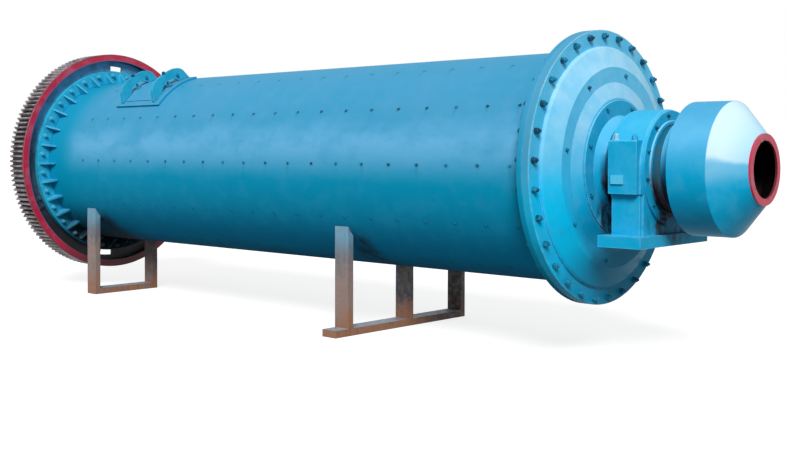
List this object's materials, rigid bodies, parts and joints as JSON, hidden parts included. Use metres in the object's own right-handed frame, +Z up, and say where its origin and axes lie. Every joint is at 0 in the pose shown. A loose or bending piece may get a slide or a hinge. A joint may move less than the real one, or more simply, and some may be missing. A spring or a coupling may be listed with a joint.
{
  "type": "ball mill",
  "caption": "Horizontal ball mill: bolted drum with ring gear, stepped end covers, trunnion bearings, drum feeder and welded channel stands.",
  "frame": {"origin": "on the floor below the mill axis, at the middle of the overall length", "axes": "+X along the mill axis to the feed end, +Z up, -Y to the side with the manhole"},
  "size_m": [8.867, 2.592, 2.8059],
  "materials": {
    "painted_blue": "satin",
    "rusty_steel": "matte",
    "gear_iron": "rough",
    "gear_web": "satin",
    "red_paint": "satin",
    "journal_steel": "greasy",
    "liner_steel": "rough"
  },
  "bodies": {
    "frame": {"mid_stand_sill": "rusty_steel", "mid_stand_post_front": "rusty_steel", "mid_stand_post_middle": "rusty_steel", "mid_stand_post_rear": "rusty_steel", "gear_stand_sill": "rusty_steel", "gear_stand_post_front": "rusty_steel", "gear_stand_post_rear": "rusty_steel", "feed_bearing_cap": "painted_blue", "feed_bearing_base": "painted_blue", "feed_bearing_base_plate": "painted_blue", "feed_bearing_seal_rings": "painted_blue", "discharge_bearing_cap": "painted_blue", "discharge_bearing_base": "painted_blue", "discharge_bearing_base_plate": "painted_blue", "discharge_bearing_seal_rings": "painted_blue"},
    "drum": {"drum_shell": "painted_blue", "shell_flange_feed": "painted_blue", "shell_flange_gear": "painted_blue", "shell_liner": "liner_steel", "feed_end_cover": "painted_blue", "discharge_end_cover": "painted_blue", "feed_trunnion_flange": "painted_blue", "feed_trunnion": "journal_steel", "discharge_trunnion_flange": "painted_blue", "discharge_trunnion": "journal_steel", "girth_gear_upper_half": "gear_iron", "girth_gear_lower_half": "gear_iron", "gear_side_ring_upper_half": "red_paint", "gear_side_ring_lower_half": "red_paint", "gear_web_upper_half": "gear_web", "gear_web_lower_half": "gear_web", "feeder_collar": "painted_blue", "feeder_drum": "painted_blue", "feeder_cone": "painted_blue", "feeder_mouth_ring": "red_paint", "discharge_spout": "painted_blue", "manhole_frame": "painted_blue", "manhole_cover": "painted_blue", "manhole_clamp_feed_side": "painted_blue", "manhole_clamp_gear_side": "painted_blue"}
  },
  "joints": [
    {"name": "drum_spin", "type": "hinge", "parent": "frame", "child": "drum", "pos_m": [0, 0, 1.51], "axis": [1, 0, 0], "continuous": true}
  ]
}
